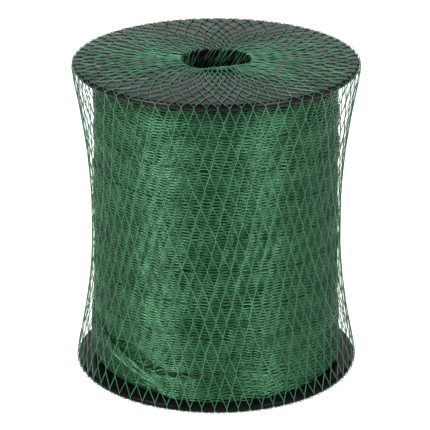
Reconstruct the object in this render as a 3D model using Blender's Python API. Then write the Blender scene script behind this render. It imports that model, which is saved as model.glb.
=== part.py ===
"""A roll of tubular netting: fine plastic net wound on a flanged spool, inside a wide-mesh net sleeve.

The sleeve is pulled over both flanges and its ends are tucked into the spool's bore. Metres, +Z up, origin
on the floor under the middle of the spool. Angles run from the front (-Y) towards +X.
"""

import math

import bmesh
import bpy
import numpy as np

MM = 0.001
GAP = 0.3 * MM                      # between pieces that touch

# Overall
HEIGHT = 227.4 * MM                 # floor to the top of the sleeve

# Spool
FLANGE_RADIUS = 100.0 * MM
FLANGE_THICKNESS = 4.5 * MM
FLANGE_EDGE = 1.8 * MM              # rounding of the rim
BORE_RADIUS = 25.0 * MM
BORE_EDGE = 0.7 * MM                # rounding of the hole in a flange
HUB_RADIUS = 27.7 * MM              # spigot on each flange, pressed into the core
HUB_LENGTH = 15.0 * MM
CORE_INNER = 28.0 * MM
CORE_OUTER = 30.5 * MM
SPOOL_SIDES = 60

# Netting wound on the spool
ROLL_SIDES = 60
ROLL_BORE = CORE_OUTER + GAP
ROLL_RADII = (                      # height and radius of the winding, under its laps
    (8.0, 88.4), (26.0, 88.2), (61.0, 87.5), (96.0, 86.8), (151.0, 86.4), (208.0, 85.8),
)
SHOULDER_LOW = 3.0 * MM             # rounding at the lower and upper end of the winding
SHOULDER_HIGH = 4.0 * MM
FOOT_BULGE = 3.4 * MM               # the lowest turns have slipped out at the front
FOOT_ANGLE = 85.0                   # degrees to either side
FOOT_FROM = 10.0 * MM
FOOT_TO = 26.0 * MM
LAP_PITCH = 24.0 * MM               # each turn of the flat net lies this far below the last
LAP_RELIEF = 0.6 * MM
UNEVEN = 0.3 * MM
LAST_LAP = (                        # angle and height of the upper edge of the last turn
    (-180.0, 53.0), (-120.0, 49.0), (-62.0, 38.5), (-47.0, 30.5), (-38.0, 25.0), (-30.0, 21.5),
    (-17.0, 22.0), (-3.0, 23.5), (5.0, 28.0), (15.0, 30.0), (60.0, 32.0), (120.0, 43.0), (180.0, 53.0),
)
LAP_THICKNESS = 1.0 * MM
FOLD_HEIGHT = 1.6 * MM              # rolled edge of the last turn, at the front left
FOLD_WIDTH = 3.5 * MM
FOLD_ANGLES = (-66.0, -20.0)
FOLD_ENDS = 12.0                    # degrees over which the fold rises and fades
DENSE_TO = 46.0 * MM                # the profile's points lie closer below this height

# Net sleeve
SHEET = 1.0 * MM
RIM = 101.7 * MM                    # outer radius over the flanges, whose rims the flat webs just clear
WAIST = 89.1 * MM                   # outer radius where the sleeve hugs the winding
WAIST_FROM = 96.5 * MM
WAIST_TO = 121.5 * MM
FLARE_POWER = 1.7
RIM_BEND = 2.3 * MM                 # outer radius of the bend round a flange's rim
BORE_BEND = 2.0 * MM                # and round the edge of the bore
TUCK_END = 34.0 * MM                # how far the ends reach into the bore
COLUMNS = 33                        # gaps round the sleeve, twice the net's own pitch
ROWS = 9                            # rows of gaps, each half a column round from the last
TIP = 3.5 * MM                      # solid length at each end of a gap, half a strand's crossing
SIDE = 0.075                        # the same across, in columns
TWIST = 0.043                       # degrees that the columns turn for each millimetre down
CROWDING = ((1, 0.08, 25.0), (3, 0.0167, 45.0))     # how the columns crowd to the front right

# Worked out from the sizes above
SPOOL_LOW = SHEET + GAP             # outer faces of the two flanges
SPOOL_HIGH = HEIGHT - SPOOL_LOW
INSIDE_LOW = SPOOL_LOW + FLANGE_THICKNESS + GAP     # ends of the core and the winding
INSIDE_HIGH = HEIGHT - INSIDE_LOW
FACE_OUT = RIM - RIM_BEND           # the sleeve lies flat on a flange between these two radii
FACE_IN = BORE_RADIUS - GAP - SHEET + BORE_BEND
RIM_ARC = RIM_BEND * math.pi / 2
BORE_ARC = BORE_BEND * math.pi / 2


def smooth(x):
    x = min(max(x, 0.0), 1.0)
    return x * x * (3.0 - 2.0 * x)


def around(radius, angle, height):
    """A point at an angle in radians from the front, towards +X."""
    return (radius * math.sin(angle), -radius * math.cos(angle), height)


def plastic(name, colour, roughness):
    material = bpy.data.materials.new(name)
    material.use_nodes = True
    shader = material.node_tree.nodes["Principled BSDF"]
    shader.inputs["Base Color"].default_value = (*colour, 1.0)
    shader.inputs["Roughness"].default_value = roughness
    shader.inputs["Metallic"].default_value = 0.0
    return material


def add_object(name, mesh):
    solid = bpy.data.objects.new(name, mesh)
    bpy.context.scene.collection.objects.link(solid)
    return solid


def finish_mesh(mesh, material, sharp=35.0):
    """Gives a mesh its material, and smooth shading up to an angle in degrees."""
    mesh.materials.append(material)
    mesh.shade_smooth()
    mesh.set_sharp_from_angle(angle=math.radians(sharp))
    return mesh


def corner(centre, radius, start, turn, steps=2):
    """Points of a rounded corner in a turned profile, from one angle in degrees through another."""
    angles = (math.radians(start + turn * k / steps) for k in range(steps + 1))
    return [(centre[0] + radius * math.cos(a), centre[1] + radius * math.sin(a)) for a in angles]


def turned(name, profile, material):
    """Spins a closed profile of (radius, height) points about Z."""
    work = bmesh.new()
    ring = [work.verts.new((radius, 0.0, height)) for radius, height in profile]
    lines = [work.edges.new(pair) for pair in zip(ring, ring[1:] + ring[:1])]
    bmesh.ops.spin(work, geom=ring + lines, cent=(0, 0, 0), axis=(0, 0, 1), angle=2 * math.pi,
                   steps=SPOOL_SIDES, use_merge=True)
    bmesh.ops.recalc_face_normals(work, faces=work.faces)
    mesh = bpy.data.meshes.new(name)
    work.to_mesh(mesh)
    work.free()
    return finish_mesh(mesh, material)


def flange_mesh():
    """A disc with a rounded rim, and the hub spigot that enters the core. Its outer face lies at height 0."""
    rim, bore = FLANGE_RADIUS - FLANGE_EDGE, BORE_RADIUS + BORE_EDGE
    hub_end = FLANGE_THICKNESS + HUB_LENGTH
    profile = corner((bore, BORE_EDGE), BORE_EDGE, 180, 90)
    profile += corner((rim, FLANGE_EDGE), FLANGE_EDGE, 270, 90)
    profile += corner((rim, FLANGE_THICKNESS - FLANGE_EDGE), FLANGE_EDGE, 0, 90)
    profile += [(HUB_RADIUS, FLANGE_THICKNESS), (HUB_RADIUS, hub_end - BORE_EDGE)]
    profile += [(HUB_RADIUS - BORE_EDGE, hub_end), (BORE_RADIUS, hub_end)]
    return turned("flange", profile, plastic("spool_plastic", (0.012, 0.012, 0.013), 0.32))


def flanges():
    """Two of the same moulding, the upper one turned over."""
    mesh = flange_mesh()
    add_object("flange_bottom", mesh).location.z = SPOOL_LOW
    upper = add_object("flange_top", mesh)
    upper.location.z = SPOOL_HIGH
    upper.rotation_euler.x = math.pi


def core():
    profile = [(CORE_INNER, INSIDE_LOW), (CORE_OUTER, INSIDE_LOW)]
    profile += [(CORE_OUTER, INSIDE_HIGH), (CORE_INNER, INSIDE_HIGH)]
    add_object("core", turned("core", profile, plastic("core_plastic", (0.014, 0.014, 0.015), 0.4)))


def roll_radius(angle, height):
    """The winding's radius: a slight cone, with low helical laps, a lumpy lie, a slipped foot, and the last
    turn on top."""
    degrees = (math.degrees(angle) + 180.0) % 360.0 - 180.0
    radius = np.interp(height / MM, *zip(*ROLL_RADII)) * MM
    radius += LAP_RELIEF * math.cos(angle + 2 * math.pi * height / LAP_PITCH)
    radius += UNEVEN * math.cos(3 * angle + 70.0 * height) * math.cos(2 * angle - 45.0 * height + 1.0)
    front = smooth(1.0 - abs(degrees) / FOOT_ANGLE)
    radius += FOOT_BULGE * front * smooth((FOOT_TO - height) / (FOOT_TO - FOOT_FROM))
    edge = np.interp(degrees, *zip(*LAST_LAP)) * MM
    radius += LAP_THICKNESS * smooth((edge + 2.0 * MM - height) / (4.0 * MM))
    first, last = FOLD_ANGLES
    along = smooth((degrees - first) / FOLD_ENDS) * smooth((last - degrees) / FOLD_ENDS)
    radius += FOLD_HEIGHT * along * math.exp(-(((height - edge + FOLD_WIDTH) / FOLD_WIDTH) ** 2))
    return radius


def roll_profile(angle):
    """One (radius, height) profile of the winding, from the foot of its bore out, up its side and back in."""
    low, high = INSIDE_LOW + SHOULDER_LOW, INSIDE_HIGH - SHOULDER_HIGH
    foot = roll_radius(angle, low) - SHOULDER_LOW
    head = roll_radius(angle, high) - SHOULDER_HIGH
    profile = [(ROLL_BORE, INSIDE_LOW)] + corner((foot, low), SHOULDER_LOW, 270, 90, steps=3)[:-1]
    heights = [*np.linspace(low, DENSE_TO, 8), *np.linspace(DENSE_TO, high, 20)[1:]]
    profile += [(roll_radius(angle, height), height) for height in heights]
    return profile + corner((head, high), SHOULDER_HIGH, 0, 90)[1:] + [(ROLL_BORE, INSIDE_HIGH)]


def wound_netting():
    """One closed solid, swept from the profile at each angle round the roll."""
    angles = [2 * math.pi * i / ROLL_SIDES for i in range(ROLL_SIDES)]
    points = [around(radius, angle, height) for angle in angles for radius, height in roll_profile(angle)]
    rows = len(points) // ROLL_SIDES
    faces = []
    for i in range(ROLL_SIDES):
        here, there = i * rows, (i + 1) % ROLL_SIDES * rows
        for k in range(rows):
            up = (k + 1) % rows
            faces.append((here + k, there + k, there + up, here + up))
    mesh = bpy.data.meshes.new("wound_netting")
    mesh.from_pydata(points, [], faces)
    add_object("wound_netting", finish_mesh(mesh, plastic("wound_net", (0.035, 0.19, 0.085), 0.5), 60.0))


def side_radius(height):
    """The sleeve's outer radius up its side: a waist that flares to both rims."""
    below = (WAIST_FROM - height) / (WAIST_FROM - INSIDE_LOW)
    above = (height - WAIST_TO) / (INSIDE_HIGH - WAIST_TO)
    flare = min(max(below, above, 0.0), 1.0)
    return WAIST + (RIM - WAIST) * flare ** FLARE_POWER


def sheet_at(s):
    """Outer and inner (radius, height) of the sleeve at s: its height up the side, which beyond the side's
    ends runs on as a length round the rim, in over the flange and down the bore."""
    if RIM_BEND <= s <= HEIGHT - RIM_BEND:
        return (side_radius(s), s), (side_radius(s) - SHEET, s)
    upper = s > HEIGHT / 2
    past = s - (HEIGHT - RIM_BEND) if upper else RIM_BEND - s
    pair = []
    for depth in (0.0, SHEET):
        if past < RIM_ARC:
            turn, bend = past / RIM_BEND, RIM_BEND - depth
            radius, height = FACE_OUT + bend * math.cos(turn), RIM_BEND - bend * math.sin(turn)
        elif past < RIM_ARC + FACE_OUT - FACE_IN:
            radius, height = FACE_OUT + RIM_ARC - past, depth
        elif past < RIM_ARC + FACE_OUT - FACE_IN + BORE_ARC:
            turn, bend = (past - RIM_ARC - FACE_OUT + FACE_IN) / BORE_BEND, BORE_BEND - depth
            radius, height = FACE_IN - bend * math.sin(turn), BORE_BEND - bend * math.cos(turn)
        else:
            down = past - RIM_ARC - (FACE_OUT - FACE_IN) - BORE_ARC
            radius, height = FACE_IN - BORE_BEND + depth, BORE_BEND + down
        pair.append((radius, HEIGHT - height if upper else height))
    return pair


def column_angle(column, s):
    """The angle of a column, turned along the sleeve and crowded towards the front right."""
    angle = 2 * math.pi * column / COLUMNS + math.radians(TWIST) * (HEIGHT / 2 - s) / MM
    return angle - sum(share * math.sin(k * angle - math.radians(lag)) for k, share, lag in CROWDING)


def net_sleeve():
    """One sheet with rows of staggered lozenge gaps, whole from the rims inward."""
    points, faces, known = [], [], {}
    start = RIM_BEND - RIM_ARC - TIP                    # where the first crossings lie, under the lower rim
    step = (HEIGHT - 2 * start) / (ROWS + 1)            # from each level of crossings to the next

    def at(column, s):
        """Number of the outer point at a column and a length; the inner one follows it."""
        key = (round(column % COLUMNS, 4) % COLUMNS, round(s, 7))
        if key not in known:
            known[key] = len(points)
            points.extend(around(radius, column_angle(column, s), height) for radius, height in sheet_at(s))
        return known[key]

    def panel(*corners):
        """A piece of the sheet, on both of its sides."""
        faces.append(corners)
        faces.append(tuple(k + 1 for k in reversed(corners)))

    def edge(a, b):
        """The sheet's cut edge, with the material on the left of a to b as seen from outside."""
        faces.append((a, a + 1, b + 1, b))

    def gap(row, column):
        """The foot, right, head and left corners of a gap."""
        middle, level = column + 0.5 * (row % 2), start + step * (row + 1)
        return (at(middle, level - step + TIP), at(middle + 0.5 - SIDE, level),
                at(middle, level + step - TIP), at(middle - 0.5 + SIDE, level))

    for row in range(1, ROWS):
        for column in range(COLUMNS):
            foot, right, _, left = gap(row, column)
            west = gap(row - 1, column - 1 + row % 2)
            east = gap(row - 1, column + row % 2)
            below = (gap(row - 2, column)[2],) if row > 1 else ()
            panel(*below, east[3], foot, west[1])       # the crossing under this gap
            panel(foot, east[3], east[2], right)        # its legs up to the right and to the left
            panel(foot, left, west[2], west[1])
            for a, b in ((right, foot), (foot, left), (west[2], west[1]), (east[3], east[2])):
                edge(a, b)
    for column in range(COLUMNS):
        below = gap(ROWS - 2, column - ROWS % 2)
        panel(below[2], gap(ROWS - 1, column)[3], gap(ROWS - 1, column - 1)[1])

    # Past the last crossings the webs between the gaps widen round the rim and close to a whole sheet, which
    # crosses the flange and enters the bore.
    wide, tip = start + step, start + TIP
    web_levels = [wide, INSIDE_LOW, RIM_BEND, RIM_BEND - RIM_ARC / 2, tip]
    across = FACE_OUT - FACE_IN
    rings = [tip, tip - 0.3 * across, tip - 0.7 * across, tip - across]
    rings += [tip - across - BORE_ARC * k / 2 for k in (1, 2)]
    rings += [rings[-1] - (TUCK_END - BORE_BEND) * k / 2 for k in (1, 2)]
    for upper in (False, True):
        shift = 0.5 * ((ROWS - 1) % 2) if upper else 0.0

        def ring_point(column, s):
            return at(column + shift, HEIGHT - s if upper else s)

        def place(maker, *corners):
            maker(*(reversed(corners) if upper else corners))

        for column in range(COLUMNS):
            halves = [SIDE + (0.5 - SIDE) * (wide - s) / (wide - tip) for s in web_levels]
            web = [(ring_point(column + 0.5 - half, s), ring_point(column + 0.5 + half, s))
                   for half, s in zip(halves, web_levels)]
            for (a, b), (c, d) in zip(web, web[1:]):
                place(panel, c, d, b, a)
                place(edge, a, c)
                place(edge, d, b)
            for s0, s1 in zip(rings, rings[1:]):
                place(panel, ring_point(column, s1), ring_point(column + 1, s1),
                      ring_point(column + 1, s0), ring_point(column, s0))
            place(edge, ring_point(column, rings[-1]), ring_point(column + 1, rings[-1]))
    mesh = bpy.data.meshes.new("net_sleeve")
    mesh.from_pydata(points, [], faces)
    add_object("net_sleeve", finish_mesh(mesh, plastic("sleeve_net", (0.07, 0.30, 0.15), 0.45)))


for item in list(bpy.data.objects):
    bpy.data.objects.remove(item, do_unlink=True)
flanges()
core()
wound_netting()
net_sleeve()
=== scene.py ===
import math
import bpy
import numpy as np
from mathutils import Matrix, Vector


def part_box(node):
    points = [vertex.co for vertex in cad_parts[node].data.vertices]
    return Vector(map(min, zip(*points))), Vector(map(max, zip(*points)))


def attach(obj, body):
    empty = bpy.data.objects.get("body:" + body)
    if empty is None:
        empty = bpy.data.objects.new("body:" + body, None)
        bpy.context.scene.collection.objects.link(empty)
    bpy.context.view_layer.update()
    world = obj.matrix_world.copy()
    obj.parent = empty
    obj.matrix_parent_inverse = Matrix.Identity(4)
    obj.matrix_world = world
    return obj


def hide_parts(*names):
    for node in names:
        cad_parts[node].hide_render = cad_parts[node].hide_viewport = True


# A roll of tubular netting: fine plastic net wound on a flanged spool, inside a wide-mesh net sleeve.
# Metres, +Z up, origin on the floor under the middle. Angles run from the front (-Y) towards +X.

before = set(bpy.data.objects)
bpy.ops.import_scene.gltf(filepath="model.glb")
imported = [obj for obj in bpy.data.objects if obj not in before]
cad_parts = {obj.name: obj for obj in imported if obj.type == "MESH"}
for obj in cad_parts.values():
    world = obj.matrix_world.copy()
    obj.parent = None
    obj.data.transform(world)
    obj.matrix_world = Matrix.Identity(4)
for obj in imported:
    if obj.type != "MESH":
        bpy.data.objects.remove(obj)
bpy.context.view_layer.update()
print("frame loaded:", ", ".join(sorted(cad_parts)))

mm = 0.001
turn = 2 * math.pi
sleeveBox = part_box("net_sleeve")
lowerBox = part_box("flange_bottom")
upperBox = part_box("flange_top")
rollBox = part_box("wound_netting")
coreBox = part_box("core")
height = sleeveBox[1].z
sleeveRim = sleeveBox[1].x
flangeRadius = lowerBox[1].x
rollLow, rollHigh = rollBox[0].z, rollBox[1].z


# camera, floor and light

cameraSettings = {
    "distance": 1.8126,
    "elevation": 21.13,          # degrees above the horizontal
    "lens": 212.8,               # lens and sensor width in millimetres
    "sensor": 36.0,
    "clipEnd": 20.0,
    "lookAt": (-0.00086, 0.0, 0.1099),
}


def makeCamera(settings):
    # the camera stands on a circle of the given distance in front of the roll and looks at its middle
    rise = math.radians(settings["elevation"])
    reach = settings["distance"]
    x, y, z = settings["lookAt"]
    camera = bpy.data.objects.new("camera", bpy.data.cameras.new("camera"))
    bpy.context.scene.collection.objects.link(camera)
    camera.data.lens = settings["lens"]
    camera.data.sensor_width = settings["sensor"]
    camera.data.clip_end = settings["clipEnd"]
    camera.location = (x, y - reach * math.cos(rise), z + reach * math.sin(rise))
    camera.rotation_euler = (math.pi / 2 - rise, 0.0, 0.0)
    bpy.context.scene.camera = camera


lightSettings = {
    "world": 0.10,
    # name, azimuth and elevation in degrees, distance, width and height in metres, watts
    "boxes": (
        ("softbox_left", -52, 22, 1.5, 0.75, 1.2, 40),
        ("softbox_far_left", -90, 15, 1.6, 0.60, 1.2, 1.5),
        ("softbox_right", 45, 22, 1.5, 0.50, 1.2, 27),
        ("softbox_far_right", 90, 15, 1.6, 0.60, 1.2, 2.5),
        ("softbox_back", 180, 26, 2.2, 1.3, 1.3, 4.9),
    ),
}


def makeLights(settings):
    # each softbox stands on a sphere round the roll, by azimuth from the front and elevation, and faces it
    world = bpy.data.worlds.new("studio")
    bpy.context.scene.world = world
    world.use_nodes = True
    background = world.node_tree.nodes["Background"]
    background.inputs["Color"].default_value = (1.0, 1.0, 1.0, 1.0)
    background.inputs["Strength"].default_value = settings["world"]
    for name, azimuth, elevation, reach, wide, tall, watts in settings["boxes"]:
        lamp = bpy.data.lights.new(name, "AREA")
        lamp.shape = "RECTANGLE"
        lamp.size, lamp.size_y = wide, tall
        lamp.energy = watts
        box = bpy.data.objects.new(name, lamp)
        bpy.context.scene.collection.objects.link(box)
        a, e = math.radians(azimuth), math.radians(elevation)
        box.location = (reach * math.cos(e) * math.sin(a), -reach * math.cos(e) * math.cos(a),
                        height / 2 + reach * math.sin(e))
        box.rotation_euler = (math.pi / 2 - e, 0.0, a)


floorSettings = {
    "size": 12.0,
    "colour": (0.9, 0.9, 0.9, 1.0),
    "roughness": 0.9,
    "glow": 0.7,                 # it glows a little, so that it stays plain
}


def makeFloor(settings):
    # a flat white square of the given side
    half = settings["size"] / 2
    corners = [(-half, -half, 0), (half, -half, 0), (half, half, 0), (-half, half, 0)]
    mesh = bpy.data.meshes.new("floor")
    mesh.from_pydata(corners, [], [(0, 1, 2, 3)])
    floor = bpy.data.objects.new("floor", mesh)
    bpy.context.scene.collection.objects.link(floor)
    material = bpy.data.materials.new("floor_white")
    material.use_nodes = True
    shader = material.node_tree.nodes["Principled BSDF"]
    shader.inputs["Base Color"].default_value = settings["colour"]
    shader.inputs["Roughness"].default_value = settings["roughness"]
    shader.inputs["Emission Color"].default_value = (1.0, 1.0, 1.0, 1.0)
    shader.inputs["Emission Strength"].default_value = settings["glow"]
    mesh.materials.append(material)


bpy.context.scene.view_settings.view_transform = "Standard"
makeCamera(cameraSettings)
makeLights(lightSettings)
makeFloor(floorSettings)
print("camera, lights and floor placed")


# helpers

def smoothStep(x):
    # 3x^2 - 2x^3 between 0 and 1
    x = np.clip(x, 0.0, 1.0)
    return x * x * (3.0 - 2.0 * x)


def bell(x):
    # exp(-x^2)
    return np.exp(-x ** 2)


def around(radius, angle, level):
    # x = r sin a, y = -r cos a, z = h
    radius, angle, level = np.broadcast_arrays(radius, angle, level)
    return np.stack([radius * np.sin(angle), -radius * np.cos(angle), level], axis=-1)


def ripples(angle, level, *waves, seed=0):
    # adds up waves of (amount, seed, terms, fewest and most round, most radians per metre up): amount times
    # the sum over the terms of cos(k a + q h + phase), over their root, with k, q and phase drawn by chance
    total = np.zeros(np.broadcast(angle, level).shape)
    for amount, ownSeed, terms, fewest, most, rise in waves:
        draw = np.random.default_rng(seed + ownSeed)
        wave = np.zeros(total.shape)
        for _ in range(terms):
            k = draw.integers(fewest, most + 1)
            wave += np.cos(k * angle + draw.uniform(-rise, rise) * level + draw.uniform(0, turn))
        total += amount * (wave / terms ** 0.5)
    return total


def inDegrees(angle):
    # degrees from -180 up to 180
    return (np.degrees(angle) + 180.0) % 360.0 - 180.0


def fromTable(table, at, unit=mm):
    # straight lines between the rows of a table of two columns, the second one in the given unit
    columns = np.array(table)
    return np.interp(at, columns[:, 0], columns[:, 1]) * unit


def closedGrid(columns, rows):
    # quads between the points of a grid whose last column and last row join the first ones again
    i, k = np.meshgrid(np.arange(columns), np.arange(rows), indexing="ij")
    after, up = (i + 1) % columns, (k + 1) % rows
    corners = [i * rows + k, after * rows + k, after * rows + up, i * rows + up]
    return np.stack(corners, axis=-1).reshape(-1, 4)


noCaps = np.zeros((0, 3), int)


def putMesh(name, points, quads, material, shades=None, caps=noCaps):
    # points (n, 3); quads (m, 4) and caps (k, sides) number the faces' corners; shades has one value a point
    mesh = bpy.data.meshes.new(name)
    corners = np.concatenate([quads.ravel(), caps.ravel()])
    sizes = np.repeat([4, caps.shape[1]], [len(quads), len(caps)])
    mesh.vertices.add(len(points))
    mesh.vertices.foreach_set("co", np.asarray(points, np.float32).ravel())
    mesh.loops.add(len(corners))
    mesh.loops.foreach_set("vertex_index", corners.astype(np.int32))
    mesh.polygons.add(len(sizes))
    mesh.polygons.foreach_set("loop_start", (np.cumsum(sizes) - sizes).astype(np.int32))
    if shades is not None:
        attribute = mesh.attributes.new("shade", "FLOAT", "POINT")
        attribute.data.foreach_set("value", shades.astype(np.float32).ravel())
    mesh.update(calc_edges=True)
    mesh.validate()
    mesh.shade_smooth()
    mesh.materials.append(material)
    piece = bpy.data.objects.new(name, mesh)
    bpy.context.scene.collection.objects.link(piece)
    return piece


def tubes(name, path, outward, wide, deep, sides, material, shades):
    # path and outward (strands, stations, 3): at each station a ring of corners, 2 pi (k + 1/2) / sides from
    # outward, of half width wide and half depth deep; quads join the rings, and each end has a cap
    along = np.gradient(path, axis=1)
    across = np.cross(along, outward)
    across /= np.linalg.norm(across, axis=-1, keepdims=True)
    up = np.cross(across, along)
    up /= np.linalg.norm(up, axis=-1, keepdims=True)
    count, stations = path.shape[:2]
    k = np.arange(sides)
    spin = turn * (k + 0.5) / sides
    wide = np.broadcast_to(wide, (count, stations))[..., None, None]
    deep = np.broadcast_to(deep, (count, stations))[..., None, None]
    ring = (path[:, :, None] + across[:, :, None] * np.sin(spin)[:, None] * wide
            + up[:, :, None] * np.cos(spin)[:, None] * deep)
    starts = np.arange(count)[:, None] * stations * sides
    first = starts[:, :, None] + np.arange(stations - 1)[:, None] * sides
    after = (k + 1) % sides
    quads = np.stack([first + k, first + after, first + sides + after, first + sides + k], axis=-1)
    caps = np.concatenate([starts + k[::-1], starts + (stations - 1) * sides + k])
    tones = np.repeat(np.broadcast_to(shades, (count, stations)).ravel(), sides)
    return putMesh(name, ring.reshape(-1, 3), quads.reshape(-1, 4), material, tones, caps)


def finishPiece(piece, slotName, *nodes):
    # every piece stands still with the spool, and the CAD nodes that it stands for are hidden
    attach(piece, "root")
    if nodes:
        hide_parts(*nodes)
    print(piece.name, "made:", len(piece.data.polygons), "faces")


# materials

def newMaterial(name, colour, roughness, **sockets):
    # a Principled material with its plain values set on the shader's own sockets
    material = bpy.data.materials.new(name)
    material.use_nodes = True
    shader = material.node_tree.nodes["Principled BSDF"]
    shader.inputs["Base Color"].default_value = (*colour, 1.0)
    shader.inputs["Roughness"].default_value = roughness
    for socket, value in sockets.items():
        shader.inputs[socket.replace("_", " ")].default_value = value
    return material, material.node_tree, shader


def objectPlace(tree):
    # a point's place in metres, on the piece itself
    return tree.nodes.new("ShaderNodeTexCoord").outputs["Object"]


def shadeOf(tree):
    # the value that the mesh carries for each point
    attribute = tree.nodes.new("ShaderNodeAttribute")
    attribute.attribute_name = "shade"
    return attribute.outputs["Fac"]


def colourBy(tree, factor, stops):
    # a colour ramp over a factor, with (place, colour) stops
    ramp = tree.nodes.new("ShaderNodeValToRGB")
    while len(ramp.color_ramp.elements) < len(stops):
        ramp.color_ramp.elements.new(1.0)
    for element, (place, colour) in zip(ramp.color_ramp.elements, stops):
        element.position = place
        element.color = (*colour, 1.0)
    tree.links.new(factor, ramp.inputs["Fac"])
    return ramp.outputs["Color"]


def noiseAt(tree, coordinates, scale, detail, stretch=(1.0, 1.0, 1.0)):
    # noise on the given coordinates, finer along an axis with a larger stretch
    mapping = tree.nodes.new("ShaderNodeMapping")
    mapping.inputs["Scale"].default_value = stretch
    noise = tree.nodes.new("ShaderNodeTexNoise")
    noise.inputs["Scale"].default_value = scale
    noise.inputs["Detail"].default_value = detail
    tree.links.new(coordinates, mapping.inputs["Vector"])
    tree.links.new(mapping.outputs["Vector"], noise.inputs["Vector"])
    return noise.outputs["Fac"]


def scaledBy(tree, factor, times, add, clamp=False):
    # factor x times + add, where add is a number or another factor
    node = tree.nodes.new("ShaderNodeMath")
    node.operation = "MULTIPLY_ADD"
    node.use_clamp = clamp
    tree.links.new(factor, node.inputs[0])
    node.inputs[1].default_value = times
    if isinstance(add, float):
        node.inputs[2].default_value = add
    else:
        tree.links.new(add, node.inputs[2])
    return node.outputs[0]


def bumpBy(tree, shader, factor, strength, depth):
    # small relief, as deep as the factor is high
    bump = tree.nodes.new("ShaderNodeBump")
    bump.inputs["Strength"].default_value = strength
    bump.inputs["Distance"].default_value = depth
    tree.links.new(factor, bump.inputs["Height"])
    tree.links.new(bump.outputs["Normal"], shader.inputs["Normal"])


netFinish = {
    "highlight": (0.4, 1.0, 0.6, 1.0),
    "patches": (45.0, 3.0),      # scale and detail of a noise, and how much of it is added to the shade
    "patchShare": 0.3,
    "stops": (0.15, 0.62, 1.05),         # shades that have the dark, the middle and the light colour
    "leastGloss": 0.1,
    "grain": (1500.0, 2.0),
    "grainBump": (0.1, 0.03 * mm),
}


def netPlastic(name, finish):
    # extruded net: the tone of each strand comes from its shade, and wanders in soft patches
    common = netFinish
    colours = finish["colours"]
    material, tree, shader = newMaterial(name, colours[1], finish["roughness"], IOR=finish["ior"],
                                         Specular_Tint=common["highlight"])
    place = objectPlace(tree)
    shade = shadeOf(tree)
    tone = scaledBy(tree, noiseAt(tree, place, *common["patches"]), common["patchShare"], shade)
    colour = colourBy(tree, tone, list(zip(common["stops"], colours)))
    tree.links.new(colour, shader.inputs["Base Color"])
    # painted shade: the darker a strand, the duller, so that the strands inside and under the flange reflect
    # less, as shaded ones do
    gloss = scaledBy(tree, shade, finish["gloss"], common["leastGloss"], clamp=True)
    tree.links.new(gloss, shader.inputs["Specular IOR Level"])
    bumpBy(tree, shader, noiseAt(tree, place, *common["grain"]), *common["grainBump"])
    return material


spoolFinish = {
    "colour": (0.004, 0.0035, 0.0037),
    "roughness": 0.2,
    "ior": 1.25,
    "highlight": (1.0, 0.90, 0.90, 1.0),
    "flow": (22.0, 5.0),         # scale and detail of a noise, as for the others here
    "flowColours": ((0.3, (0.0025, 0.0022, 0.0023)), (0.75, (0.0055, 0.0048, 0.005))),
    "uneven": (60.0, 4.0),
    "unevenRoughness": ((0.3, 0.15), (0.7, 0.25)),       # noise and roughness
    "grain": (900.0, 3.0),
    "grainBump": (0.12, 0.2 * mm),
}


def spoolPlastic(name, finish):
    # black moulded plastic: a fine grain, faint flow marks and a slightly uneven gloss
    material, tree, shader = newMaterial(name, finish["colour"], finish["roughness"], IOR=finish["ior"],
                                         Specular_Tint=finish["highlight"])
    place = objectPlace(tree)
    colour = colourBy(tree, noiseAt(tree, place, *finish["flow"]), finish["flowColours"])
    tree.links.new(colour, shader.inputs["Base Color"])
    (lowNoise, smooth), (highNoise, rough) = finish["unevenRoughness"]
    uneven = tree.nodes.new("ShaderNodeMapRange")
    uneven.inputs["From Min"].default_value = lowNoise
    uneven.inputs["From Max"].default_value = highNoise
    uneven.inputs["To Min"].default_value = smooth
    uneven.inputs["To Max"].default_value = rough
    tree.links.new(noiseAt(tree, place, *finish["uneven"]), uneven.inputs["Value"])
    tree.links.new(uneven.outputs["Result"], shader.inputs["Roughness"])
    # the turned rim and the bore reflect less than the faces: painted shade
    tree.links.new(shadeOf(tree), shader.inputs["Specular IOR Level"])
    bumpBy(tree, shader, noiseAt(tree, place, *finish["grain"]), *finish["grainBump"])
    return material


# spool

spoolSettings = {
    "segments": 192,
    "thickness": 4.5 * mm,
    "rimRound": 1.8 * mm,
    "boreRadius": 25.0 * mm,
    "boreRound": 0.7 * mm,
    "boreDullReach": 0.1 * mm,      # how far from the bore its duller reflection, a painted shade, reaches
    "hubRadius": 27.7 * mm,
    "tubeInner": 28.0 * mm,
    "roundSteps": 5,
    "sharp": 40.0,               # degrees between faces that meet in an edge
    # how much the face reflects, how much the rim and the bore do, and how far in the rim's duller reflection
    # reaches; the rims, the bore and the lower face reflect less as painted shade
    "lowerReflection": (0.3, 0.1, 0.9 * mm),
    "upperReflection": (0.52, 0.16, 0.02 * mm),
    "tubeReflection": 0.5,
}


def cornerArc(centre, radius, start, steps):
    # points of a quarter circle, from start in degrees, anticlockwise
    angles = np.radians(start + 90.0 * np.arange(steps + 1) / steps)
    return np.stack([centre[0] + radius * np.cos(angles), centre[1] + radius * np.sin(angles)], axis=-1)


def flangeProfile(box, settings):
    # outer face at height 0, rounded rim and bore, then the hub spigot; heights run into the spool
    thick, steps = settings["thickness"], settings["roundSteps"]
    rimRound, boreRound = settings["rimRound"], settings["boreRound"]
    hub, bore = settings["hubRadius"], settings["boreRadius"]
    deep = box[1].z - box[0].z
    return np.concatenate([
        cornerArc((bore + boreRound, boreRound), boreRound, 180, steps),
        cornerArc((flangeRadius - rimRound, rimRound), rimRound, 270, steps),
        cornerArc((flangeRadius - rimRound, thick - rimRound), rimRound, 0, steps),
        [(hub, thick), (hub, deep - boreRound), (hub - boreRound, deep), (bore, deep)],
    ])


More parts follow.
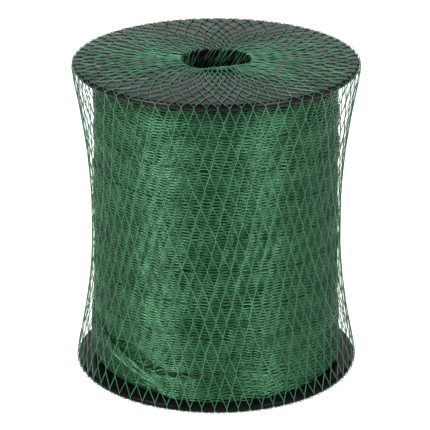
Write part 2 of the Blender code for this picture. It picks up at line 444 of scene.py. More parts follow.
def lathe(name, profile, shades, settings, material):
    # a closed profile of (radius, height), turned about Z in equal steps, with a shade for each of its points
    segments = settings["segments"]
    angles = turn * np.arange(segments) / segments
    points = around(profile[:, 0], angles[:, None], profile[:, 1])
    shades = np.broadcast_to(shades, (segments, len(profile)))
    piece = putMesh(name, points.reshape(-1, 3), closedGrid(segments, len(profile)), material, shades)
    piece.data.set_sharp_from_angle(angle=math.radians(settings["sharp"]))
    return piece


def makeFlange(name, profile, finish, settings, material, node):
    # a turned disc that reflects as given on the face, and less on the rim and the bore, which is painted
    # shade
    face, rim, reach = finish
    radius = profile[:, 0]
    dull = (radius > flangeRadius - reach) | (radius < settings["boreRadius"] + settings["boreDullReach"])
    piece = lathe(name, profile, np.where(dull, rim, face), settings, material)
    finishPiece(piece, "spool_plastic", node)


def makeSpool(settings):
    # two flanges of one profile, the upper one turned over, and a plain tube between them
    plastic = spoolPlastic("spool_black", spoolFinish)
    profile = flangeProfile(lowerBox, settings)
    lower = profile + (0.0, lowerBox[0].z)
    upper = (profile * (1, -1) + (0.0, upperBox[1].z))[::-1]
    makeFlange("lower_flange", lower, settings["lowerReflection"], settings, plastic, "flange_bottom")
    makeFlange("upper_flange", upper, settings["upperReflection"], settings, plastic, "flange_top")
    inner, outer, low, high = settings["tubeInner"], coreBox[1].x, coreBox[0].z, coreBox[1].z
    wall = np.array([(inner, low), (outer, low), (outer, high), (inner, high)])
    tube = lathe("spool_tube", wall, np.full(len(wall), settings["tubeReflection"]), settings, plastic)
    finishPiece(tube, "spool_plastic", "core")


makeSpool(spoolSettings)


# wound netting

rollSettings = {
    # height and radius of the winding under its laps
    "radii": ((8.0, 88.4), (26.0, 88.2), (61.0, 87.5), (96.0, 86.8), (151.0, 86.4), (208.0, 85.8)),
    "meanRadius": 88.0 * mm,
    "shoulderLow": 3.0 * mm,
    "shoulderHigh": 4.0 * mm,
    # the lowest turns have slipped out at the front
    "footBulge": 3.4 * mm,
    "footAngle": 85.0,
    "footFrom": 10.0 * mm,
    "footTo": 26.0 * mm,
    "lapPitch": 24.0 * mm,
    "lapRelief": 0.42 * mm,
    # two waves that are multiplied: waves round, radians per metre up, and phase
    "uneven": 0.3 * mm,
    "unevenWaves": ((3, 70.0, 0.0), (2, -45.0, 1.0)),
    # angle in degrees and height of the upper edge of the last turn
    "lastLap": ((-180.0, 53.0), (-120.0, 49.0), (-62.0, 38.5), (-47.0, 30.5), (-38.0, 25.0),
                (-30.0, 21.5), (-17.0, 22.0), (-3.0, 23.5), (5.0, 28.0), (15.0, 30.0), (60.0, 32.0),
                (120.0, 43.0), (180.0, 53.0)),
    "lapThickness": 1.0 * mm,
    "lapBevel": 2.0 * mm,        # half the height over which that thickness grows
    "foldHeight": 1.6 * mm,
    "foldWidth": 4.4 * mm,
    "foldAngles": (-66.0, -20.0),
    "foldEnds": 12.0,
    # angle and height where the lowest strands lie
    "lowerEdge": ((-180.0, 10.0), (-100.0, 11.0), (-76.0, 12.0), (-60.0, 14.5), (-43.0, 10.6),
                  (-31.0, 10.8), (-21.0, 7.2), (-8.0, 5.9), (10.0, 5.9), (30.0, 6.6), (60.0, 7.6),
                  (130.0, 9.0), (180.0, 10.0)),
}


def lapEdge(angle):
    # height of the last turn's upper edge
    return fromTable(rollSettings["lastLap"], inDegrees(angle))


def lowerEdge(angle):
    # height of the lowest strands
    return fromTable(rollSettings["lowerEdge"], inDegrees(angle))


def rollRadius(angle, level, withLast=True):
    # a slight cone, with low helical laps, a lumpy lie, a slipped foot, and the last turn and its edge on top
    r = rollSettings
    radius = fromTable(r["radii"], level / mm)
    radius = radius + r["lapRelief"] * np.cos(angle + turn * level / r["lapPitch"])
    first, second = (np.cos(k * angle + rise * level + phase) for k, rise, phase in r["unevenWaves"])
    radius = radius + r["uneven"] * first * second
    degrees, edge = inDegrees(angle), lapEdge(angle)
    front = smoothStep(1.0 - np.abs(degrees) / r["footAngle"])
    foot = smoothStep((r["footTo"] - level) / (r["footTo"] - r["footFrom"]))
    radius = radius + r["footBulge"] * front * foot
    if not withLast:
        return radius
    bevel = r["lapBevel"]
    radius = radius + r["lapThickness"] * smoothStep((edge + bevel - level) / (2 * bevel))
    start, end = r["foldAngles"]
    along = smoothStep((degrees - start) / r["foldEnds"]) * smoothStep((end - degrees) / r["foldEnds"])
    return radius + r["foldHeight"] * along * bell((level - edge + r["foldWidth"]) / r["foldWidth"])


bodySettings = {
    "across": 300,
    "up": 130,
    "roundSteps": 5,
    "inset": 1.7 * mm,           # under the strands
    "boreRadius": 30.8 * mm,
    # painted shade: the packed net's colours are dark, as it lies deep under the loose strands
    "colour": (0.008, 0.045, 0.02),
    "roughness": 0.6,
    "ior": 1.15,
    "streaks": (130.0, 4.0, (1.0, 1.0, 9.0)),            # scale, detail and stretch of a noise
    "streakColours": ((0.32, (0.002, 0.010, 0.005)), (0.55, (0.006, 0.035, 0.015)),
                      (0.75, (0.015, 0.08, 0.036))),
    "streakBump": (0.8, 0.8 * mm),
}


def packedNet(name, settings):
    # dark net, packed so tightly that only level streaks show; its dark colours are painted shade, for net
    # deep under the loose strands
    material, tree, shader = newMaterial(name, settings["colour"], settings["roughness"],
                                         IOR=settings["ior"])
    streaks = noiseAt(tree, objectPlace(tree), *settings["streaks"])
    tree.links.new(colourBy(tree, streaks, settings["streakColours"]), shader.inputs["Base Color"])
    bumpBy(tree, shader, streaks, *settings["streakBump"])
    return material


def makeRollBody(settings):
    # the tight netting under the loose outer strands: the profile at each angle, swept round
    columns, steps = settings["across"], settings["roundSteps"]
    footRound, headRound = rollSettings["shoulderLow"], rollSettings["shoulderHigh"]
    angles = (turn * np.arange(columns) / columns)[:, None]
    low, high = rollLow + footRound, rollHigh - headRound
    levels = np.linspace(low, high, settings["up"])
    side = rollRadius(angles, levels, withLast=False) - settings["inset"]
    bend = np.radians(90.0 * np.arange(steps + 1) / steps)
    foot = side[:, :1] - footRound * (1 - np.sin(bend[:-1]))
    head = side[:, -1:] - headRound * (1 - np.cos(bend[1:]))
    bore = np.full((columns, 1), settings["boreRadius"])
    radius = np.concatenate([bore, foot, side, head, bore], axis=1)
    level = np.concatenate([[rollLow], low - footRound * np.cos(bend[:-1]), levels,
                            high + headRound * np.sin(bend[1:]), [rollHigh]])
    points = around(radius, angles, level)
    piece = putMesh("roll_body", points.reshape(-1, 3), closedGrid(columns, len(level)),
                    packedNet("packed_net_shaded", settings))
    finishPiece(piece, "wound_net", "wound_netting")


weaveSettings = {
    # where in a wave a strand reaches and leaves its neighbours
    "bonds": (-0.09, 0.09, 0.41, 0.59),
    "sides": 3,
    "thick": 0.30 * mm,          # half a strand's depth
    "open": 0.9,                 # share of the way to the next strand; all waves are as ripples takes them
    "openWaves": (0.3, 0, 9, 1, 26, 330.0),
    "leastOpen": 0.55,
    # upright pleats about 12 mm apart, which all the layers share
    "pleats": (0.37 * mm, 130, 6, 30, 52, 60.0),
    # a strand stands out by this where it lies against the one above, and back by it against the one below
    "ply": 0.10 * mm,
}


def bondPlace(step, waves):
    # angle of each step along a strand, four steps to a wave
    bonds = np.array(weaveSettings["bonds"])
    return turn * (step // 4 + bonds[step % 4]) / waves


def boundSide(strand, step):
    # 1 where a strand lies against the one above, -1 where it lies against the one below
    return np.where((step % 4 < 2) == (strand % 2 == 0), 1.0, -1.0)


def openShare(angle, level, seed):
    # how far the strands reach towards their neighbours, wandering between the least share and 1
    w = weaveSettings
    return np.clip(w["open"] + ripples(angle, level, w["openWaves"], seed=seed), w["leastOpen"], 1.0)


def putTurns(name, radius, angle, level, wide, thick, sides, material, tones):
    # strands that run round the winding
    piece = tubes(name, around(radius, angle, level), around(1.0, angle, 0.0), wide, thick, sides,
                  material, tones)
    finishPiece(piece, "wound_net")


partingSettings = {
    # push upwards, degrees where it starts and over which it grows, degrees where it ends and over which it
    # shrinks: over the rolled edge, where a dark hollow opens, and at the seam beside it
    "pushes": ((3.6 * mm, -64.0, 12.0, -16.0, 10.0), (1.2 * mm, -26.0, 6.0, 20.0, 12.0)),
    "above": 1.0 * mm,           # over the last turn's edge
    "grows": 2.0 * mm,
    "fades": 8.0 * mm,
}


def parting(angle, level):
    # pushes strands up and away from the last turn's edge: a step above it, that fades by exp(-height)
    p = partingSettings
    degrees, above = inDegrees(angle), level - lapEdge(angle) - p["above"]
    push = sum(most * smoothStep((degrees - start) / growth) * smoothStep((end - degrees) / shrinkage)
               for most, start, growth, end, shrinkage in p["pushes"])
    return push * smoothStep((above + p["grows"]) / p["grows"]) * np.exp(-np.maximum(above, 0) / p["fades"])


layerSettings = {
    # painted shade: the deeper layers have lower tones, as less light reaches them between the strands above
    "layers": (
        {"name": "strands_deep", "strands": 22, "waves": 37.3, "lean": -1, "depth": 1.35 * mm,
         "seed": 3, "tone": 0.06, "wide": 0.30 * mm, "gape": 0.3 * mm},
        {"name": "strands_middle", "strands": 22, "waves": 40.6, "lean": 1, "depth": 0.80 * mm,
         "seed": 5, "tone": 0.15, "wide": 0.24 * mm, "gape": 0.6 * mm},
        {"name": "strands_outer", "strands": 23, "waves": 38.4, "lean": -1, "depth": 0.20 * mm,
         "seed": 9, "tone": 0.56, "wide": 0.26 * mm, "gape": 1.1 * mm},
    ),
    "foot": 0.6 * mm,            # the lowest and the highest strands stay this far inside the winding's ends
    "head": 1.5 * mm,
    "liftWaves": ((0.75 * mm, 50, 6, 1, 6, 70.0), (0.3 * mm, 60, 8, 1, 40, 500.0)),
    "gapeShare": 0.45,
    "gapeWaves": (0.6, 70, 6, 1, 14, 60.0),
    "slant": 0.35,               # round for each metre up
    "swayWaves": ((1.1 * mm, 90, 5, 1, 5, 120.0), (0.7 * mm, 95, 10, 1, 60, 1200.0)),
    "bounceWaves": (0.15 * mm, 131, 10, 1, 40, 500.0),
    "sunk": 6.0 * mm,            # strands sink in under the lowest edge, by this over that height
    "sunkOver": 2.0 * mm,
    "toneWaves": (0.10, 170, 6, 1, 12, 300.0),
    "toneSpread": 0.10,
    # the turns under the upper flange lie in its shade, where little light comes
    "shaded": 0.35,
    "shadedFrom": 16.0 * mm,
    "shadedOver": 10.0 * mm,
}


def makeLayer(settings, layer, material):
    # parallel turns of net: each strand runs h = top - pitch a / 2 pi, and lies against the strand above and
    # the one below by turns, half a spacing either way
    s, seed = settings, layer["seed"]
    count, waves = layer["strands"], layer["waves"]
    pitch, shoulder = rollSettings["lapPitch"], rollSettings["shoulderHigh"]
    low, high = rollLow + s["foot"], rollHigh - s["head"]
    strand = np.arange(count)[:, None]
    step = np.arange(int((high - low) / pitch * waves) * 4)[None, :]
    side = boundSide(strand, step)
    start = turn * strand / count
    swept = turn * np.ceil(start * waves / turn) / waves + bondPlace(step, waves)
    level = high - pitch * (swept - start) / turn
    angle = -layer["lean"] * swept
    # the net is drawn together across each turn, so that a dark seam opens here and there between two turns
    gape = layer["gape"] * smoothStep(s["gapeShare"] + ripples(angle, level, s["gapeWaves"], seed=seed))
    drawn = gape * (0.5 - strand / (count - 1))
    lift = ripples(angle, level, *s["liftWaves"], seed=seed)
    level = level + side * openShare(angle, level, seed) * pitch / count / 2 + lift + drawn
    level = level + parting(angle, level)
    level = np.clip(level, low, high)
    sway = s["slant"] * level + ripples(angle, level, *s["swayWaves"], seed=seed)
    sunk = s["sunk"] * smoothStep((lowerEdge(angle) - level) / s["sunkOver"])
    sunk = sunk + shoulder * smoothStep((level - high + shoulder) / shoulder) ** 2
    bounce = ripples(angle, level, weaveSettings["pleats"], s["bounceWaves"]) + weaveSettings["ply"] * side
    radius = rollRadius(angle, level, withLast=False) - layer["depth"] - sunk + bounce
    tones = layer["tone"] + ripples(angle, level, s["toneWaves"], seed=seed)
    tones = tones + s["toneSpread"] * np.random.default_rng(seed).uniform(-1, 1, (count, 1))
    tones = tones - s["shaded"] * smoothStep((level - rollHigh + s["shadedFrom"]) / s["shadedOver"])
    putTurns(layer["name"], radius, angle + sway / rollSettings["meanRadius"], level, layer["wide"],
             weaveSettings["thick"], weaveSettings["sides"], material, tones)


lastLapSettings = {
    "strands": 18,
    "waves": 41,
    "depth": 0.05 * mm,
    "wide": 0.26 * mm,
    "openSeed": 31,
    "liftWaves": (0.3 * mm, 35, 6, 1, 9, 90.0),
    "bounceWaves": (0.1 * mm, 37, 10, 1, 40, 500.0),
    # angle and how openly the strands lie: closed and smooth under the rolled edge
    "openness": ((-180.0, 1.0), (-80.0, 1.0), (-66.0, 0.12), (-32.0, 0.12), (-22.0, 1.0), (180.0, 1.0)),
    # what changes where they lie smooth, under the rolled edge; their darker tone there is painted shade
    "smoothCalm": 0.7,
    "smoothWide": 0.8,
    "smoothShade": 0.42,
    "smoothSunk": 5.0 * mm,
    "smoothSunkOver": 8.0 * mm,
    "tone": 0.54,
    "toneWaves": (0.12, 39, 6, 1, 12, 300.0),
}


def makeLastLap(settings, material):
    # closed rings between the last turn's upper edge and the winding's lower edge, joined here and there
    s = settings
    count, waves = s["strands"], s["waves"]
    strand = np.arange(count)[:, None]
    step = np.arange(waves * 4 + 1)[None, :]
    side = boundSide(strand, step)
    angle = bondPlace(step, waves) + math.pi
    edge, low = lapEdge(angle), lowerEdge(angle)
    spacing = (edge - low) / count
    level = edge - (strand + 0.5) * spacing
    share = fromTable(s["openness"], inDegrees(angle), 1.0)
    smooth = 1.0 - share
    reach = side * openShare(angle, level, s["openSeed"]) * share
    level = level + reach * spacing / 2 + ripples(angle, level, s["liftWaves"])
    bounce = ripples(angle, level, weaveSettings["pleats"], s["bounceWaves"]) + weaveSettings["ply"] * side
    sunk = s["smoothSunk"] * smooth * smoothStep(1.0 - (level - low) / s["smoothSunkOver"]) ** 2
    radius = rollRadius(angle, level) - s["depth"] + bounce * (1.0 - s["smoothCalm"] * smooth) - sunk
    # painted shade: the smooth strands under the rolled edge have a darker tone
    tones = s["tone"] + ripples(angle, level, s["toneWaves"]) - s["smoothShade"] * smooth
    wide = s["wide"] * (1.0 + s["smoothWide"] * smooth)
    putTurns("last_turn", radius, angle, level, wide, weaveSettings["thick"], weaveSettings["sides"],
             material, tones)


foldSettings = {
    "strands": 18,
    "stations": 72,
    "seed": 17,
    "strand": 0.21 * mm,
    "sides": 5,
    # angle, height and half thickness in millimetres along the rolled edge
    "line": ((-69.0, 40.0, 0.8), (-61.0, 36.0, 1.9), (-57.0, 33.8, 2.8), (-47.0, 27.6, 4.4),
             (-40.0, 23.6, 4.4), (-35.0, 20.8, 3.6), (-30.0, 19.2, 2.8), (-24.0, 18.0, 3.4)),
    "flatness": 0.45,
    "twists": 0.5,
    "spinSpread": 0.3,
    "spinWaves": (0.5, 43, 4, 1, 8, 1.0),
    "inside": 0.1,               # least share of the bundle's section inside a strand
    "liftWaves": (0.40 * mm, 41, 5, 1, 30, 1.0),
    "below": 1.0 * mm,           # the winding that it lies on is taken this far under its middle
    "out": 0.4 * mm,             # and its middle lies this far out from there
    "tone": 0.38,
    "toneSpread": 0.38,
    "toneWaves": (0.18, 45, 6, 1, 60, 1.0),
}


def makeFold(settings, material):
    # the rolled edge: strands twisted round a line down the last turn's edge, in a bundle that swells midway
    s = settings
    line = np.array(s["line"])
    degrees = np.linspace(line[0, 0], line[-1, 0], s["stations"])[None, :]
    along = np.linspace(0.0, 1.0, s["stations"])[None, :]
    angle = np.radians(degrees)
    middle = np.interp(degrees, line[:, 0], line[:, 1]) * mm
    spread = np.interp(degrees, line[:, 0], line[:, 2]) * mm
    strand = np.arange(s["strands"])[:, None] * 1.0
    draw = np.random.default_rng(s["seed"])
    phase = turn * strand / s["strands"] + draw.uniform(-s["spinSpread"], s["spinSpread"], strand.shape)
    ring = np.sqrt(draw.uniform(s["inside"], 1.0, strand.shape))
    spin = phase + turn * s["twists"] * along + ripples(angle, strand, s["spinWaves"])
    level = middle + spread * ring * np.cos(spin) + ripples(angle, strand, s["liftWaves"])
    out = s["out"] + s["flatness"] * spread * ring * np.sin(spin)
    radius = rollRadius(angle, middle - s["below"]) + out
    tones = s["tone"] + draw.uniform(-s["toneSpread"], s["toneSpread"], strand.shape)
    tones = tones + ripples(angle, strand, s["toneWaves"])
    putTurns("rolled_edge", radius, angle, level, s["strand"], s["strand"], s["sides"], material, tones)


woundFinish = {
    "colours": ((0.003, 0.014, 0.006), (0.0175, 0.067, 0.027), (0.044, 0.140, 0.063)),
    "roughness": 0.22,
    "ior": 1.65,
    "gloss": 1.7,
}

woundPlastic = netPlastic("wound_green", woundFinish)
makeRollBody(bodySettings)
for layer in layerSettings["layers"]:
    makeLayer(layerSettings, layer, woundPlastic)
makeLastLap(lastLapSettings, woundPlastic)
makeFold(foldSettings, woundPlastic)


# net sleeve

sleeveSettings = {
    "columns": 66,
    "levels": 46,                # legs along the whole net
    "seed": 11,
    "leg": 12.15 * mm,
    "slack": 0.684,              # the rows lie closer on the flanges and in the bore
    "strand": 0.255 * mm,
    "sides": 4,
    # the form: a sheet with rounded edges at the rims and at the bore, and its outer side's radii
    "sheet": 1.0 * mm,
    "rimBend": 2.3 * mm,
    "boreBend": 2.0 * mm,
    "boreOuter": 23.7 * mm,      # of the tucked ends
    "waist": 89.1 * mm,
    "waistFrom": 96.5 * mm,
    "waistTo": 121.5 * mm,
    "flarePower": 1.7,
    "bendSteps": 4,
    # the lie of the columns
    "twist": 0.043,              # degrees turned for each millimetre down
    "crowding": ((1, 0.08, 25.0), (3, 0.0167, 45.0)),    # waves round, share moved, and lag in degrees
    "crossing": 0.07,            # share of a leg along which its two strands lie together
    "crossingThick": 1.12,
    # the crossings lie a little out of place, in columns and along, and more on the flanges than on the side
    "offColumn": 0.035,
    "offRun": 0.35 * mm,
    "looser": 2.0,
    "looserFrom": 8.0 * mm,
    "looserOver": 12.0 * mm,
    "runWaves": (0.8 * mm, 21, 5, 1, 5, 40.0),
    "angleWaves": (0.016, 23, 6, 1, 6, 50.0),
    # depths of the strands under the sheet's outer side, and the lengths over which they change
    "rimDepth": 1.15 * mm,
    "rimOver": 12.0 * mm,
    "faceDepth": 0.62 * mm,
    "faceFrom": 3.0 * mm,
    "faceOver": 6.0 * mm,
    "apart": 0.10 * mm,          # each way of strands lies this far outside or inside the other's middle
    "tuckedOver": 5.0 * mm,
    "deepFrom": 7.0 * mm,
    "deepOver": 13.0 * mm,
    # thickness and tone: on the side, on the faces, tucked in and deep in the bore; the faces get painted
    # light, the tucked ends painted glints and painted shade, and the bore painted shade
    "thickSpread": 0.08,
    "thickOnFace": 0.2,
    "thickTucked": -0.36,
    "tone": 0.36,
    "toneSpread": 0.14,
    "paintedFaceLight": 0.31,
    # the first number times a random share to the power of the second, plus the third: a few bright strands
    # are painted glints, and the negative third is painted shade
    "tuckedGlintsAndShade": (1.2, 3, -0.22),
    "paintedBoreShade": -0.45,
    "patchWaves": (1.0, 25, 8, 1, 60, 400.0),
    "patchApart": 5.0,           # gives the two ways of strands patches of their own
    "patch": 0.06,
    "patchOnFace": 0.10,
}


def endSpans():
    # lengths of the sleeve's path over one end: round the rim, in across the flange, round the bore's edge
    s = sleeveSettings
    face = sleeveRim - s["rimBend"] - s["boreOuter"] - s["boreBend"]
    return s["rimBend"] * math.pi / 2, face, s["boreBend"] * math.pi / 2


def sleeveRadius(level):
    # a waist that flares to both rims by a power of the distance from it
    s = sleeveSettings
    below = (s["waistFrom"] - level) / (s["waistFrom"] - rollLow)
    above = (level - s["waistTo"]) / (rollHigh - s["waistTo"])
    flare = np.clip(np.maximum(below, above), 0.0, 1.0)
    return s["waist"] + (sleeveRim - s["waist"]) * flare ** s["flarePower"]


def sleeveAt(run, depth):
    # radius and height at a run along the sleeve and a depth under its outer side: up the side, and beyond
    # the side's ends round the rim, in over the flange and down the bore
    rimBend, boreBend = sleeveSettings["rimBend"], sleeveSettings["boreBend"]
    rimArc, face, boreArc = endSpans()
    faceOut, faceIn = sleeveRim - rimBend, sleeveSettings["boreOuter"] + boreBend
    upper = run > height / 2
    past = np.where(upper, run - height, -run) + rimBend
    rimTurn = np.clip(past / rimBend, 0, math.pi / 2)
    boreTurn = np.clip((past - rimArc - face) / boreBend, 0, math.pi / 2)
    onSide, onRim, onFace = past < 0, past < rimArc, past < rimArc + face
    onBoreEdge = past < rimArc + face + boreArc
    radius = np.select(
        [onSide, onRim, onFace],
        [sleeveRadius(run) - depth, faceOut + (rimBend - depth) * np.cos(rimTurn), faceOut + rimArc - past],
        faceIn - (boreBend - depth) * np.sin(boreTurn))
    level = np.select(
        [onSide, onRim, onFace, onBoreEdge],
        [np.where(upper, height - run, run), rimBend - (rimBend - depth) * np.sin(rimTurn),
         depth + 0 * past, boreBend - (boreBend - depth) * np.cos(boreTurn)],
        boreBend + past - rimArc - face - boreArc)
    return radius, np.where(upper, height - level, level)


def outwardAt(run, depth, angle):
    # the path's slope from one run to the next, a quarter turn round
    step = 0.05 * mm
    radius, level = sleeveAt(run, depth)
    aheadRadius, aheadLevel = sleeveAt(run + step, depth)
    length = np.hypot(aheadRadius - radius, aheadLevel - level)
    return around((aheadLevel - level) / length, angle, -(aheadRadius - radius) / length)


def columnAngle(column, run):
    # equal columns, turned along the sleeve and crowded towards the front right
    s = sleeveSettings
    angle = turn * column / s["columns"] + math.radians(s["twist"]) * (height / 2 - run) / mm
    return angle - sum(share * np.sin(k * angle - math.radians(lag)) for k, share, lag in s["crowding"])


holeSettings = {
    # how the net bunches towards the upper hole: middle and reach in degrees, and share drawn in
    "bunches": ((160.0, 30.0, 0.65), (-90.0, 32.0, 0.5), (-25.0, 16.0, 0.5), (30.0, 20.0, 0.5)),
    "bunchReach": 15.0 * mm,
    "bunchWaves": (0.03, 61, 8, 1, 34, 90.0),
    "locks": 37,                 # the strands run together into this many down the bore
    "lockShare": 0.97,
    "lockFrom": 3.0 * mm,        # before the edge
    "lockOver": 5.0 * mm,
    "boreTwist": 0.024,          # radians for each millimetre down the bore
    # the lip over the near side: its middle, half width and ends in degrees, and its peak's middle, width and
    # height
    "lip": (20.0, 42.0, 25.0),
    "lipPeak": (25.0, 14.0, 0.4),
    # inward reach and rise of the lip, each with its place past the edge and its width
    "lipReach": (1.5 * mm, 2.5 * mm, 4.0 * mm),
    "lipRise": (0.4 * mm, -1.0 * mm, 3.5 * mm),
    "hang": 1.5 * mm,            # off the bore's wall, at so many places round it
    "hangs": 4,
    "hangOver": 10.0 * mm,
}


def lipShare(degrees):
    # how far the edge of the tucked net stands up round the near right of the upper hole
    middle, half, ends = holeSettings["lip"]
    peak, width, more = holeSettings["lipPeak"]
    lip = smoothStep((half - np.abs(degrees - middle)) / ends)
    return lip * (1.0 + more * bell((degrees - peak) / width))


def atHole(run, radius, angle, level):
    # the tucked net at the upper hole: bunched as it comes to the edge, raised in a lip over the near side,
    # and hanging askew and a little off the wall down the bore
    h = holeSettings
    rimArc, face, _ = endSpans()
    beyond = run - height + sleeveSettings["rimBend"] - rimArc - face        # past the edge's start
    down = np.maximum(beyond, 0.0)
    near = bell(np.minimum(beyond, 0.0) / h["bunchReach"])
    lip = lipShare(inDegrees(angle))
    offs = [(inDegrees(angle - math.radians(middle)), reach, share) for middle, reach, share in h["bunches"]]
    drawn = sum(share * off * bell(off / reach) for off, reach, share in offs)
    angle = angle - near * np.radians(drawn) + near * ripples(angle, beyond, h["bunchWaves"])
    locked = h["lockShare"] / h["locks"] * smoothStep((beyond + h["lockFrom"]) / h["lockOver"])
    angle = angle - locked * np.sin(h["locks"] * angle)
    angle = angle + h["boreTwist"] * down / mm
    reach, place, width = h["lipReach"]
    radius = radius - reach * lip * bell((beyond - place) / width)
    hanging = np.maximum(np.cos(h["hangs"] * angle), 0.0) * smoothStep(down / h["hangOver"])
    radius = radius - h["hang"] * hanging
    rise, place, width = h["lipRise"]
    level = level + rise * lip * bell((beyond - place) / width)
    return radius, angle, level


def sleeveRows(settings):
    # rows of crossings, a leg apart on the side and closer beyond it: how far past the side's end each row
    # would lie if they weren't closer, and its run along the sleeve
    s = settings
    half = height / 2 - s["rimBend"]
    rows = np.arange(s["levels"] + 1) - s["levels"] / 2
    plain = np.abs(rows) * s["leg"]
    way = np.minimum(plain, half) + s["slack"] * np.maximum(plain - half, 0.0)
    return plain - half, height / 2 + np.sign(rows) * way


def sleeveStations(settings, rowRun):
    # where a strand gets a ring of corners, in rows: at both ends of each crossing, and along each bend
    s = settings
    rimArc, face, boreArc = endSpans()
    rows = np.arange(s["levels"] + 1)
    bends = []
    for start, arc in ((0.0, rimArc), (rimArc + face, boreArc)):
        past = start + arc * np.arange(s["bendSteps"] + 1) / s["bendSteps"]
        bends += [s["rimBend"] - past, height - s["rimBend"] + past]
    crossings = (rows[:-1, None] + [0.0, s["crossing"], 1 - s["crossing"]]).ravel()
    stations = np.concatenate([crossings, [s["levels"]], np.interp(np.concatenate(bends), rowRun, rows)])
    return np.unique(np.round(stations, 4))


def makeSleeve(settings, material):
    # strands that cross at every level, half a column to either side on each leg, joined where they cross
    s = settings
    columns, levels, crossing = s["columns"], s["levels"], s["crossing"]
    rimArc, face, _ = endSpans()
    beyondSide, rowRun = sleeveRows(s)
    stations = sleeveStations(s, rowRun)
    row = np.minimum(stations.astype(int), levels - 1)
    share = stations - row
    mixed = np.clip((share - crossing) / (1 - 2 * crossing), 0, 1)
    draw = np.random.default_rng(s["seed"])
    loose = 1.0 + s["looser"] * smoothStep((beyondSide - s["looserFrom"]) / s["looserOver"])[:, None]
    nodeColumn = loose * draw.normal(0, s["offColumn"], (levels + 1, columns))
    nodeRun = loose * draw.normal(0, s["offRun"], (levels + 1, columns))
    first = np.arange(columns)[:, None]
    parts = []
    for way in (1, -1):
        low = first + row // 2 if way > 0 else first - (row + 1) // 2
        high = first + (row + 1) // 2 if way > 0 else first - (row + 2) // 2
        lowColumn = low + 0.5 * (row % 2) + nodeColumn[row, low % columns]
        highColumn = high + 0.5 * ((row + 1) % 2) + nodeColumn[row + 1, high % columns]
        lowRun = rowRun[row] + nodeRun[row, low % columns]
        highRun = rowRun[row + 1] + nodeRun[row + 1, high % columns]
        run = lowRun + (highRun - lowRun) * share
        angle = columnAngle(lowColumn + (highColumn - lowColumn) * mixed + 0.5, run)
        run = run + ripples(angle, run, s["runWaves"])
        angle = angle + ripples(angle, run, s["angleWaves"])
        # the strands lie in the middle of the sheet on the side, against the rims, and on top of the faces
        past = np.maximum(run - height, -run) + s["rimBend"]
        beyond = past - rimArc - face
        near = smoothStep(past / s["rimOver"] + 1.0)
        tucked = smoothStep(beyond / s["tuckedOver"])
        deep = smoothStep((beyond - s["deepFrom"]) / s["deepOver"])
        onFace = smoothStep((past - s["faceFrom"]) / s["faceOver"]) * (1.0 - tucked)
        depth = s["sheet"] / 2 + (s["rimDepth"] - s["sheet"] / 2) * near * (1.0 - onFace)
        depth = depth + (s["faceDepth"] - s["sheet"] / 2) * onFace - way * s["apart"]
        outward = outwardAt(run, depth, angle)
        patch = ripples(angle, run + s["patchApart"] * way, s["patchWaves"])
        radius, level = sleeveAt(run, depth)
        radius, angle, level = atHole(run, radius, angle, level)
        parts.append((around(radius, angle, level), outward, onFace, tucked, deep, patch))
    path, outward, onFace, tucked, deep, patch = (np.concatenate(both) for both in zip(*parts))
    oneEach = (2 * columns, 1)
    atCrossing = np.minimum(share, 1 - share) < crossing * 1.01        # a little more, for rounding
    thick = s["strand"] * np.where(atCrossing, s["crossingThick"], 1.0)
    thick = thick * draw.uniform(1.0 - s["thickSpread"], 1.0 + s["thickSpread"], oneEach)
    thick = thick * (1.0 + s["thickOnFace"] * onFace + s["thickTucked"] * tucked)
    # painted light: the strands on the flange faces are lighter
    tones = s["tone"] + draw.uniform(-s["toneSpread"], s["toneSpread"], oneEach) + s["paintedFaceLight"] * onFace
    tones = tones + (s["patch"] + s["patchOnFace"] * onFace) * patch
    # the tucked ends differ much in tone, a few painted brighter as glints, and all darkened by painted shade
    # that deepens as they go down the bore
    most, power, least = s["tuckedGlintsAndShade"]
    tones = tones + (most * draw.uniform(0, 1, oneEach) ** power + least) * tucked + s["paintedBoreShade"] * deep
    piece = tubes("sleeve_net", path, outward, thick, thick, s["sides"], material, tones)
    finishPiece(piece, "sleeve_net", "net_sleeve")


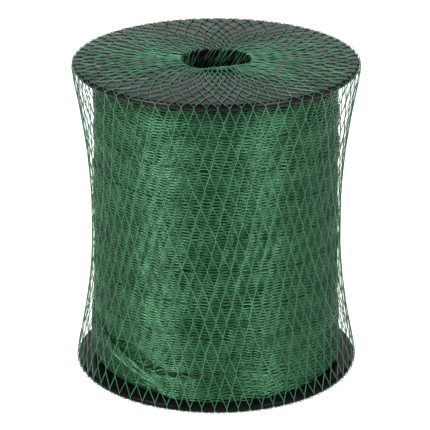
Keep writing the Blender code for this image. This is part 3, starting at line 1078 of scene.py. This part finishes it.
lipSettings = {
    "strands": 18,
    "stations": 90,
    "seed": 29,
    "strand": 0.22 * mm,
    "sides": 5,
    "angles": (-24.0, 66.0),
    "ends": 25.0,                # degrees over which it flattens out
    "flat": 0.3,                 # share of its rise that is left there
    "radius": 25.6 * mm,
    "reach": 1.2 * mm,
    "spread": 1.1 * mm,
    "inside": 0.1,               # least share of the rope's section inside a strand
    "twist": 2.0,
    "spinWaves": (1.2, 71, 5, 1, 16, 1.0),
    "tone": 0.55,
    "toneSpread": 0.35,
    "toneWaves": (0.15, 73, 6, 1, 60, 1.0),
}


def makeLip(settings, material):
    # the edge of the tucked net, gathered into a loose rope along the near side of the upper hole
    s = settings
    first, last = s["angles"]
    degrees = (first + (last - first) * np.linspace(0.0, 1.0, s["stations"]))[None, :]
    angle = np.radians(degrees)
    strand = np.arange(s["strands"])[:, None] * 1.0
    draw = np.random.default_rng(s["seed"])
    ends = smoothStep((degrees - first) / s["ends"]) * smoothStep((last - degrees) / s["ends"])
    spin = draw.uniform(0, turn, strand.shape) + s["twist"] * angle + ripples(angle, strand, s["spinWaves"])
    ring = s["spread"] * np.sqrt(draw.uniform(s["inside"], 1.0, strand.shape))
    radius = s["radius"] - s["reach"] * lipShare(degrees) + ring * np.cos(spin)
    rise = ring * (1.0 + np.sin(spin)) * (s["flat"] + (1.0 - s["flat"]) * ends)
    path = around(radius, angle, upperBox[1].z + s["strand"] + rise)
    tones = s["tone"] + draw.uniform(-s["toneSpread"], s["toneSpread"], strand.shape)
    tones = tones + ripples(angle, strand, s["toneWaves"])
    piece = tubes("hole_lip", path, np.array([0.0, 0.0, 1.0]), s["strand"], s["strand"], s["sides"],
                  material, tones)
    finishPiece(piece, "sleeve_net")


sleeveFinish = {
    "colours": ((0.010, 0.042, 0.021), (0.023, 0.088, 0.045), (0.068, 0.195, 0.118)),
    "roughness": 0.38,
    "ior": 1.45,
    "gloss": 1.3,
}

sleevePlastic = netPlastic("sleeve_green", sleeveFinish)
makeSleeve(sleeveSettings, sleevePlastic)
makeLip(lipSettings, sleevePlastic)
